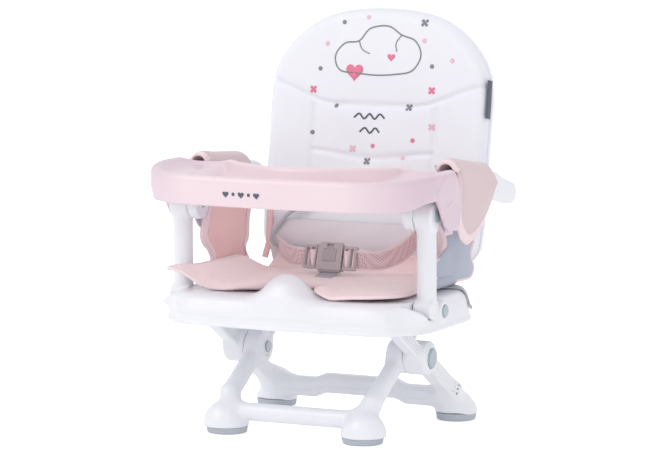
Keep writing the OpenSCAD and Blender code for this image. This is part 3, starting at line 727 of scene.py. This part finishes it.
def back_depth(x, s):
    """Puffed thickness of the cover in front of the shell, with its sewn channels."""
    ax = np.abs(x)
    smile = 242 + 32 * ease(60, 175, ax)
    low = 166 + 9 * ease(0, 100, ax)
    t = 15.5 + 2.2 * np.cos(np.clip(x / 175, -1, 1) * pi / 2)
    t = t + 1.6 * np.exp(-((ax - 48) / 40) ** 2) * ease(150, 190, s) * ease(250, 220, s)
    t = t + 2.0 * np.exp(-((s - 310) / 50) ** 2)
    t = t - 4.0 * groove(s - smile) - 3.2 * groove(ax - 95) * ease(248, 238, s) * ease(60, 90, s)
    t = t - 2.6 * groove(s - low) * ease(99, 93, ax)
    t = t + 0.7 * np.sin(x * 0.055 + s * 0.031) * np.sin(s * 0.043 - x * 0.017)
    return t


def back_cover():
    m = len(BACK_OUTLINE)
    span = np.linalg.norm(BACK_OUTLINE - BACK_CENTRE, axis=1)
    front = np.linspace(0, 1, 64)[1:] ** 0.85
    rear = [0.9975, 0.992, 0.986, 0.979, 0.97, *np.linspace(0.955, 0.03, 26)]
    verts = []
    for r, is_rear in [(r, False) for r in front] + [(r, True) for r in rear]:
        x, s = (BACK_CENTRE + (BACK_OUTLINE - BACK_CENTRE) * r).T
        q = (1 - r) * span
        bulge = np.sqrt(np.clip(1 - (1 - np.minimum(q / 15, 1)) ** 2, 0, 1))
        box = np.sqrt(np.clip(1 - (1 - np.minimum(q / 5, 1)) ** 2, 0, 1))
        if is_rear:
            seams = 3.0 * groove(s - 236, 3.0) + 2.6 * groove(np.abs(x) - 104, 3.0) * ease(236, 226, s)
            n = 5 + (16.2 * box + (1.5 + 1.5 * np.exp(-((s - 250) / 90) ** 2) - seams) * bulge)
        else:
            n = 5 - (5 + back_depth(x, s)) * bulge
        verts.append(on_back(x, n, s))
    k = len(verts)
    faces = band_faces(k, m)
    x, s = BACK_CENTRE
    verts += [on_back(x, -back_depth(x, s), s), on_back(x, 22.5, s)]
    faces += [(k * m, (j + 1) % m, j) for j in range(m)]
    faces += [(k * m + 1, (k - 1) * m + j, (k - 1) * m + (j + 1) % m) for j in range(m)]
    return new_object("back_cover", np.vstack(verts), faces)


def tree_of(ob):
    mesh = ob.data
    return BVHTree.FromPolygons([v.co for v in mesh.vertices], [tuple(p.vertices) for p in mesh.polygons])


cover = back_cover()
place(cover, "back", "white_fabric", WHITE_CLOTH, "back_pad")
x, s = BACK_OUTLINE.T
piping = tube("back_piping", on_back(x * 1.003, 4.6, s * 1.001), 1.7, closed=True)
place(piping, "back", "white_fabric", WHITE_CLOTH)
cover_tree = tree_of(cover)


def on_cover(u, v, lift=0.25):
    """Front surface of the cover at (x, height above the floor)."""
    direction = Vector((0, cos(LEAN), -sin(LEAN)))
    s = (v - COVER_Z) / cos(LEAN)
    start = Vector(on_back(u, -60.0, s) * MM)
    hit = cover_tree.ray_cast(start, direction)[0]
    return np.array(hit - direction * lift * MM) / MM


def decal(name, patches, material, body, slot, mapper):
    """Thin printed shapes laid on a surface; a patch is (points, faces) in the print's plane."""
    verts, faces = [], []
    for pts, fs in patches:
        base = len(verts)
        verts += [mapper(u, v) for u, v in pts]
        faces += [tuple(base + i for i in f) for f in fs]
    return place(thicken(new_object(name, verts, faces), 0.35), body, slot, material)


def filled(points):
    """A filled outline as a fan about its middle, with one inner ring."""
    pts = np.asarray(points, float)
    c = pts.mean(0)
    n = len(pts)
    verts = [c] + list(c + (pts - c) * 0.55) + list(pts)
    faces = [(0, 1 + i, 1 + (i + 1) % n) for i in range(n)]
    faces += [(1 + i, 1 + n + i, 1 + n + (i + 1) % n, 1 + (i + 1) % n) for i in range(n)]
    return verts, faces


def disc(cx, cy, r, n=18):
    turns = [2 * pi * k / n for k in range(n)]
    return filled([(cx + r * cos(a), cy + r * sin(a)) for a in turns])


def dots(*centres):
    return [disc(x, y, 3.2) for x, y in centres]


def clover(cx, cy, r):
    """Four petals round a centre."""
    out = [disc(cx, cy, r * 0.36, 12)]
    for k in range(4):
        a = pi / 4 + k * pi / 2
        out.append(disc(cx + 0.62 * r * cos(a), cy + 0.62 * r * sin(a), r * 0.36, 12))
    return out


def heart(cx, cy, w):
    return filled([(cx + w / 32 * 16 * sin(t) ** 3,
                    cy + w / 32 * (13 * cos(t) - 5 * cos(2 * t) - 2 * cos(3 * t) - cos(4 * t)))
                   for t in (2 * pi * k / 36 for k in range(36))])


def stroke(points, width, n=60, closed=False):
    """A drawn line of even width."""
    p = spline(points, n, closed)
    tan = tangents(p, closed)
    nor = np.stack([-tan[:, 1], tan[:, 0]], 1) * width / 2
    return list(p + nor) + list(p - nor), band_faces(2, n, wrap=closed)


def print_piece(name, patches, material):
    return decal(name, patches, material, "back", "white_fabric", on_cover)


cloud = [(-58, 488), (-66, 508), (-52, 526), (-30, 530), (-14, 548), (14, 552), (36, 540), (58, 532),
          (68, 512), (56, 490), (30, 484), (0, 482), (-30, 484)]
print_piece("print_cloud", [stroke(cloud, 2.0, 160, True),
                            stroke([(-30, 530), (-24, 518), (-12, 512)], 1.6, 20),
                            stroke([(36, 540), (28, 528), (30, 516)], 1.6, 20)], PRINT_GREY)
print_piece("print_heart", [heart(-34, 486, 27), heart(22, 508, 12)], PRINT_PINK)
print_piece("print_grey_dots", dots((-56, 556), (-89, 489), (86, 497), (-60, 437), (-96, 398)) + clover(70,
            558, 6.5) + clover(-6, 360, 6) + clover(54, 438, 6), PRINT_GREY)
print_piece("print_pale_dots", dots((-18, 564), (-80, 525),
            (72, 533)) + [disc(117, 506, 3.4)] + dots((50, 367)) + clover(91, 412, 6) + clover(-29, 377, 6),
            PRINT_PALE)
print_piece("print_pink_dots", dots((64, 392), (2, 382)) + clover(-98, 459, 6.3) + clover(88, 463, 6.3),
            PRINT_PINK)
WAVES = ([(-30, 421), (-22, 427), (-14, 420), (-6, 427), (2, 420), (10, 427), (18, 421)],
         [(-20, 401), (-12, 407), (-4, 400), (4, 407), (11, 401)])
print_piece("print_waves", [stroke(WAVES[0], 2.6, 60), stroke(WAVES[1], 2.6, 50)], PRINT_DARK)

# blank tab in the right seam of the cover
def tab_point(s, t):
    a = pi * (t - 0.5)
    return on_back(170.5 + 2.2 * cos(a), -4 - 7.5 * sin(a), s + 0.6 * sin(s * 0.3))


tag = [[tab_point(s, t) for t in np.linspace(0, 1, 15)] for s in np.linspace(230, 284, 12)]
place(sheet("side_tab", tag, 0.9), "back", "white_fabric", PRINT_DARK, "side_label")

# soft panel between the cover and the cushion
def skirt_point(u, v):
    half = 134 + 16 * v
    y = 93 + 20 * v - 9 * sin(pi * v) - 2.2 * cos(u * 9) * sin(pi * v)
    seam = 2.2 * exp(-((abs(u * half) - 84) / 3.5) ** 2)
    return u * half, y + seam, 211 + 62 * v


def rear_fold_point(u, v):
    y = 78 + 9 * v + 4 * sin(pi * v) + 1.5 * sin(u * 11)
    return u * (136 - 10 * v), y, 206 + 29 * v + 3 * cos(u * 7) * v - 10 * v * abs(u) ** 4


ACROSS = np.linspace(-1, 1, 61)
skirt = sheet("back_skirt_cloth", [[skirt_point(u, v) for u in ACROSS] for v in np.linspace(0, 1, 26)], 2.4)
# painted shade: the skirt takes the white cloth's shaded tone
place(skirt, None, "white_fabric", SHADED_WHITE_CLOTH, "back_skirt")
over_hinge(skirt)

rear_fold = sheet("seat_pad_rear_fold",
                  [[rear_fold_point(u, v) for u in ACROSS] for v in np.linspace(0, 1, 16)], 4.0)
place(rear_fold, "seat", "pink_fabric", PINK_CLOTH)
crumple(rear_fold)


# ---- cushion ----
CUSHION_OUTLINE = spline([(
    0, 84), (60, 86), (112, 82), (142, 62), (152, 20), (154, -40), (157, -92), (150, -130), (122, -149),
    (84, -151), (52, -147), (41, -128), (46, -96), (30, -66), (0, -58), (-30, -64), (-50, -82), (-64, -108),
    (-92, -121), (-128, -122), (-160, -136), (-180, -142), (-185, -124), (-170, -106), (-158, -80),
    (-154, -40), (-152, 20), (-142, 62), (-112, 82), (-60, 86)], 320, closed=True)
CUSHION_CENTRE = np.array([0.0, 10.0])


def cushion_height(x, y):
    """Middle height of the pad: flat where it rests, its front lobes lifting off the pan."""
    lift = ease(-66, -140, y)
    start = 130 - 26 * ease(-120, -55, y)
    curl = 25 * ease(start, start + 50, np.abs(x)) * (1 - ease(10, 74, y))
    left = curl + 2.5 * np.sin(x * 0.075 + 0.6) * lift
    right = (8 * ease(76, 44, x) + 4 * ease(110, 155, x) + 2.0 * np.sin(x * 0.06 + 1.0)) * lift
    return PAD_Z + np.where(x < 0, left, right)


def cushion_thickness(x, y):
    return 5.6 + 0.8 * np.sin(x * 0.05) * np.cos(y * 0.04)


def cushion_base():
    """A closed flat form of the pad, before it is inflated."""
    m = len(CUSHION_OUTLINE)
    verts = []
    levels = [(r, 1) for r in np.linspace(0.02, 1, 26)] + [(r, -1) for r in np.linspace(1, 0.02, 26)[1:]]
    for r, side in levels:
        x, y = (CUSHION_CENTRE + (CUSHION_OUTLINE - CUSHION_CENTRE) * r).T
        bulge = sqrt(max(0.0, 1 - max(0.0, (r - 0.9) / 0.1) ** 2))
        verts.append(np.column_stack([x, y, cushion_height(x, y) + side * bulge * cushion_thickness(x, y)]))
    faces = [(b, a, d, c) for a, b, c, d in band_faces(len(levels), m)]
    faces += [face[::-1] for face in end_faces(len(levels), m)]
    return new_object("seat_pad", np.vstack(verts), faces)


def inflate(ob, voxel, pressure, cap, hold):
    """Swell a closed form with cloth pressure; hold(points) gives how firmly each point stays, 0 to 1."""
    mod = ob.modifiers.new("remesh", "REMESH")
    mod.mode = "VOXEL"
    mod.voxel_size = voxel * MM
    applied(ob)
    rest = points_of(ob.data)
    group = ob.vertex_groups.new(name="hold")
    for i, w in enumerate(hold(rest / MM)):
        if w > 0:
            group.add([i], float(w), "REPLACE")
    cloth = ob.modifiers.new("cloth", "CLOTH")
    for key, value in dict(quality=5, mass=0.3, use_pressure=True, uniform_pressure_force=pressure,
                           tension_stiffness=12, compression_stiffness=12, bending_stiffness=0.6,
                           vertex_group_mass="hold").items():
        setattr(cloth.settings, key, value)
    cloth.settings.effector_weights.gravity = 0
    cloth.collision_settings.use_collision = False
    scene = bpy.context.scene
    for f in range(1, 21):
        scene.frame_set(f)
    moved = points_of(ob.evaluated_get(bpy.context.evaluated_depsgraph_get()).data)
    ob.modifiers.clear()
    scene.frame_set(1)
    step = moved - rest
    size = np.linalg.norm(step, axis=1)[:, None]
    set_points(ob.data, rest + step * np.minimum(1, cap * MM / np.maximum(size, 1e-9)))
    sub = ob.modifiers.new("smooth", "SUBSURF")
    sub.levels = sub.render_levels = 1
    applied(ob)
    ob.data.shade_smooth()
    return ob


def near_outline(p):
    """Held along the sewn edge and where the pad lies on the pan."""
    d = np.min(np.hypot(*(p[:, None, k] - CUSHION_OUTLINE[None, ::3, k] for k in (0, 1))), 1)
    rim = 1 - ease(3, 9, d)
    under = (p[:, 2] < cushion_height(p[:, 0], p[:, 1])) * 0.9
    return np.maximum(rim, under)


pad = inflate(cushion_base(), 4.5, 4.0, 7, near_outline)
co = points_of(pad.data) / MM
top = ease(-1, 3, co[:, 2] - cushion_height(co[:, 0], co[:, 1]))
fold = np.zeros(len(co))
FOLDS = ((-92, -96, 0.5, 2.4), (-118, -70, 0.9, 1.8), (96, -88, -0.35, 2.2), (62, -30, -1.1, 2.0),
         (-60, -28, 1.0, 2.0), (110, -20, -0.2, 1.6), (-112, 10, 0.3, 1.6), (40, 40, 0.1, 1.4))
for x0, y0, angle, deep in FOLDS:
    u = (co[:, 0] - x0) * cos(angle) + (co[:, 1] - y0) * sin(angle)
    v = -(co[:, 0] - x0) * sin(angle) + (co[:, 1] - y0) * cos(angle)
    fold -= deep * np.exp(-(v / 5) ** 2 - (u / 42) ** 2)
co[:, 2] += fold * top
set_points(pad.data, co * MM)
place(pad, "seat", "pink_fabric", PINK_CLOTH, "seat_cushion")
edge = np.column_stack([CUSHION_OUTLINE, cushion_height(*CUSHION_OUTLINE.T)])
edge = tube("seat_pad_binding", edge, 2.5, closed=True, flat=1.2, up=(0, 0, 1))
place(edge, "seat", "pink_fabric", PINK_EDGE)


# ---- side panels ----
PANEL = {
    "right": [
        (-14, 236), (8, 246), (22, 258), (16, 274), (-2, 292), (-16, 318), (-20, 336), (30, 340), (84, 334),
        (102, 318), (102, 296), (100, 272), (106, 256), (103, 243), (112, 230), (124, 217), (112, 206),
        (84, 205), (40, 208), (-4, 218)],
    "left": [
        (-56, 221), (-51, 233), (-56, 245), (-70, 258), (-74, 275), (-66, 300), (-50, 322), (-20, 334),
        (40, 334), (78, 318), (82, 290), (79, 262), (71, 247), (58, 240), (57, 231), (66, 219), (40, 213),
        (-20, 212)],
}


def panel_x(y, z):
    """How far out the panel bows."""
    bow = 6 * sin(pi * min(1, max(0, (z - 212) / 128)))
    rear = 8 * max(0, min(1, (y - 40) / 60))
    return 159 + bow + 2.5 * sin(y * 0.04) + 1.5 * sin(z * 0.09 + y * 0.03) + rear


def panel(name, side, low, high, shift, thick, material, slot, *replaced):
    """A ringed patch of the panel from ring low to ring high of its outline."""
    sign = dict(SIDES)[side]
    outline = spline(PANEL[side], 150, closed=True)
    centre = outline.mean(0)
    verts = []
    whole = low < 0.5
    rings = 16 if whole else 4
    m = len(outline)
    for r in np.linspace(low, high, rings):
        for y, z in centre + (outline - centre) * r:
            crease = 0.9 * sin(y * 0.11 + z * 0.05) * exp(-((z - 246) / 16) ** 2)
            out = shift * sqrt(max(0.0, 1 - r ** 6)) if whole else shift
            verts.append((sign * (panel_x(y, z) + crease + out), y, z))
    faces = band_faces(rings, m) + (end_faces(rings, m)[:1] if whole else [])
    ob = thicken(new_object(name, verts, faces), thick)
    ob.data.shade_smooth()
    place(ob, "seat", slot, material, *replaced)
    crumple(ob)


for side, sign in SIDES:
    panel(f"side_panel_outer_{side}", side, 0.04, 1, 2.2, 1.6, GREY_CLOTH, "grey_fabric",
          f"side_panel_{side}")
    panel(f"side_panel_inner_{side}", side, 0.04, 1, -2.2, 1.6, PANEL_CLOTH, "pink_fabric")
    panel(f"side_panel_band_{side}", side, 0.88, 1.0, -3.4, 2.0, PINK_EDGE, "pink_fabric")
    rim = [(sign * panel_x(y, z), y, z) for y, z in spline(PANEL[side], 150, closed=True)]
    cord = tube(f"side_panel_binding_{side}", rim, 3.0, closed=True, flat=0.8)
    place(cord, "seat", "pink_fabric", PINK_EDGE)
    crumple(cord)

roll = spline([(157, -24, 208), (160, 20, 209), (160, 62, 209), (150, 92, 209)], 40)
place(tube("side_roll_right", roll, 7.5, 16, flat=1.15), "seat", "grey_fabric", GREY_CLOTH)


# ---- arm flaps ----
FLAP_TOP = [(-33, 382), (-28, 384.5), (-20, 386), (-8, 385), (10, 382), (32, 378), (56, 373.5), (78, 370.5),
             (93, 367.5), (102, 362), (107, 352)]
FLAP_LOW = [(-30, 378), (-23, 370), (-18, 353), (-18, 330), (-23, 300), (-16, 282), (-2, 270), (14, 267),
             (48, 280), (86, 311), (104, 338)]


def flap_row(top, low, sag, sign):
    """One section of the flap, from its inner edge over the arm and down the outside."""
    (ty, tz), (ly, lz) = top, low
    tz -= sag * exp(-((ty + 10) / 60) ** 2)
    drop = tz - lz
    inner = min(42.0, drop * 0.5 + 6)
    row = [(x, ty, tz + dz) for x, dz in ((176, -inner), (175.4, -inner * 0.5), (176.5, -9), (182, -1.5),
                                          (190, 1.2), (198, -1.5), (203.8, -9))]
    for w in np.linspace(0.12, 1, 9):
        z = tz - 9 - (drop - 9) * w if drop > 10 else tz - 9 - w
        row.append((205.2 + 3.4 * sin(pi * min(1, w)) ** 0.8 - 1.6 * w, ty + (ly - ty) * w, z))
    return [(sign * x, y, z) for x, y, z in spline(row, 40)]


for side, sign in SIDES:
    sag = 8.0 if sign < 0 else 2.5
    grid = [flap_row(top, low, sag, sign) for top, low in zip(spline(FLAP_TOP, 60), spline(FLAP_LOW, 60))]
    flap = sheet(f"arm_flap_{side}", grid, 2.6)
    place(flap, "armrests", "pink_fabric", FLAP_CLOTH, f"armrest_flap_{side}")
    rim = grid[0] + [row[-1] for row in grid[1:]] + grid[-1][-2::-1] + [row[0] for row in grid][-2:0:-1]
    for trim in (tube(f"arm_flap_binding_{side}", spline(rim, 300, closed=True), 2.3, closed=True),
                 sheet(f"arm_flap_front_band_{side}", grid[:4], 3.8),
                 sheet(f"arm_flap_hem_{side}", [row[-4:] for row in grid], 3.8)):
        place(trim, "armrests", "pink_fabric", PINK_EDGE)


# ---- belts, buckle and straps ----
def belt(name, points, material, *replaced, width=25, thick=1.7):
    strap = ribbon(name, spline(points, 60), (0, -0.25, 1), width, thick, 9)
    place(strap, "seat", "pink_fabric", material, *replaced)
    crumple(strap)


BELT = {
    "right": [(40, 4, 235), (52, 8, 234), (70, 22, 234), (88, 46, 243), (100, 72, 262), (96, 96, 281)],
    "left": [(-40, 4, 235), (-54, 6, 235), (-72, 20, 235), (-92, 44, 236), (-110, 68, 237), (-124, 88, 240)],
}
for side, sign in SIDES[::-1]:
    belt(f"belt_{side}", BELT[side], BELT_PINK, f"waist_belt_{side}")
    for k, dz in (("upper", 12.2), ("lower", -12.2)):
        edge = [(x, y - 0.25 * dz, z + dz) for x, y, z in BELT[side]]
        belt(f"belt_hem_{k}_{side}", edge, PINK_EDGE, width=2.6, thick=2.6)
    around = [(sign * 26.2 + 3.6 * cos(a), 1 - 5.6 * sin(a), 236) for a in np.linspace(0.05, pi - 0.05, 16)]
    place(ribbon(f"belt_turn_{side}", around, (0, 0, 1), 22, 1.6, 23), "seat", "pink_fabric", PINK_EDGE)

path = spline([(-147, 112, 298), (-147, 107, 278), (-146, 102, 256), (-145, 98, 240), (-149, 93, 218)], 30)
strip = place(ribbon("back_edge_strip", path, (1, 0, 0), 8, 3.2), None, "pink_fabric", PANEL_CLOTH)
over_hinge(strip)
path = spline([(-80, 119, 293), (-96, 117, 290), (-114, 112, 285), (-128, 103, 269), (-136, 90, 250),
               (-133, 88, 240), (-117, 87.5, 236), (-90, 87.5, 238), (-66, 88, 238)], 60)
loop = place(tube("back_satin_loop", path, 2.8, 10), None, "grey_fabric", GREY_SATIN)
over_hinge(loop)
path = spline([(0, -39.4, 190), (0, -38.6, 201), (0, -30, 209), (0, -12, 213), (0, -6, 216)], 40)
place(ribbon("crotch_webbing", path, (1, 0, 0), 26, 1.8, 9), "seat", "grey_fabric", GREY_SATIN,
      "crotch_strap")

CORNER_C, CORNER_S = cos(radians(18)), sin(radians(18))
CORNER_PATH = [(66, 198), (78, 198.2), (88, 198), (96, 196.4), (101, 192), (104, 185), (106.3, 178),
                (107.8, 172.5), (110.5, 170.5)]


def corner(sign, radius, v, z):
    """A point of the strap: radius from the middle of the pan's round corner, v across the band."""
    px, py = 42 - v * CORNER_S, 30 + v * CORNER_C
    b = px * CORNER_C + py * CORNER_S
    u = -b + sqrt(b * b - px * px - py * py + radius * radius)
    return sign * (90 + px + u * CORNER_C), 14 + py + u * CORNER_S, z + 0.5 * sin(v * 0.4 + radius * 0.1)


for side, sign in SIDES:
    grid = [[corner(sign, u, v, z) for v in np.linspace(-16, 16, 17)] for u, z in spline(CORNER_PATH, 50)]
    place(sheet(f"corner_strap_{side}", grid, 2.2), "seat", "grey_fabric", GREY_SATIN, f"chair_strap_{side}")


# ---- CAD parts that stay: softened edges and their own finish ----
FINISH = (("post_lower", WHITE, 0.6), ("back_shell", WHITE, 0.6), ("tray_latch", TRAY_PINK, 0.5),
           ("hub_button", CAP, 0.7), ("post_lock", CAP, 0.7), ("post_upper", CAP, 0.7),
           ("buckle_button", BUTTON, 0.7), ("buckle", BUCKLE, 0.7), ("belt_adjuster", BUCKLE, 0.7),
           ("", STEEL, 0))
for node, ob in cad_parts.items():
    if ob.hide_render:
        continue
    material, width = next((m, w) for start, m, w in FINISH if node.startswith(start))
    ob.data.materials.clear()
    ob.data.materials.append(material)
    ob.modifiers.new("weld", "WELD").merge_threshold = 1e-5
    if width:
        bevel = ob.modifiers.new("edge", "BEVEL")
        bevel.width = width * MM
        bevel.segments = 2
        bevel.limit_method = "ANGLE"
        bevel.angle_limit = radians(35)

# ---- tray motif ----
tray_tree = tree_of(tray)


def on_tray(u, v):
    hit = tray_tree.ray_cast(Vector((u * MM, -0.3, v * MM)), Vector((0, 1, 0)))[0]
    return np.array(hit) / MM - np.array([0, 0.25, 0])


motif = [heart(-56, 344, 9.5), disc(-44, 344.5, 2.4), heart(-32, 344, 9.5), disc(-20, 344.5, 2.4),
         heart(-8, 344, 9.5)]
decal("tray_motif", motif, PRINT_DARK, "tray", "pink_plastic", on_tray)


# ---- floor, light and camera ----
def seen_brighter(g, seen, lit):
    """Strength lit for the light that falls on things, plus seen for what the camera sees."""
    return g.math("MULTIPLY_ADD", g.add("LightPath").outputs["Is Camera Ray"], seen, lit)


FLOOR_CORNERS = [(9000 * x, 9000 * y, 0) for x, y in ((-1, -1), (1, -1), (1, 1), (-1, 1))]
floor = new_object("floor", FLOOR_CORNERS, [(0, 1, 2, 3)], False)
g = Graph(bpy.data.materials.new("pale_floor"))
floor.data.materials.append(g.finish({
    "Base Color": (0.97, 0.97, 0.975), "Roughness": 0.95,
    "Emission Color": (1, 1, 1), "Emission Strength": seen_brighter(g, 0.35, 0.1)}))


def aimed(name, data, spot, target):
    """A lamp or camera at a spot in metres, turned to a target."""
    ob = linked(name, data)
    ob.location = spot
    ob.rotation_euler = (Vector(target) - ob.location).to_track_quat("-Z", "Y").to_euler()
    return ob


LIGHTS = (("key", (-1.6, -2.0, 2.6), 0.3, 2.2, 23), ("fill", (2.2, -2.6, 0.9), 0.25, 2.4, 7),
          ("rim", (0.6, 2.6, 2.2), 0.35, 2.0, 6))
for name, spot, height, size, power in LIGHTS:
    light = bpy.data.lights.new(name, "AREA")
    light.shape = "DISK"
    light.size = size
    light.energy = power
    aimed(name, light, spot, (0, 0, height))

world = bpy.data.worlds.new("studio")
g = Graph(world)
g.fill(g.tree.nodes["Background"], {0: (1, 1, 1), 1: seen_brighter(g, 0.3, 0.85)})
bpy.context.scene.world = world
bpy.context.scene.view_settings.view_transform = "Standard"

TARGET = Vector((0, -0.031, 0.28))
AZIMUTH, ELEVATION, DISTANCE = radians(25.54), radians(6.82), 4.871
cam = bpy.data.cameras.new("camera")
cam.sensor_width = 36
cam.lens = 191.5
cam.shift_x = 0.0123
turn = Vector((sin(AZIMUTH) * cos(ELEVATION), -cos(AZIMUTH) * cos(ELEVATION), sin(ELEVATION)))
bpy.context.scene.camera = aimed("camera", cam, TARGET + DISTANCE * turn, TARGET)
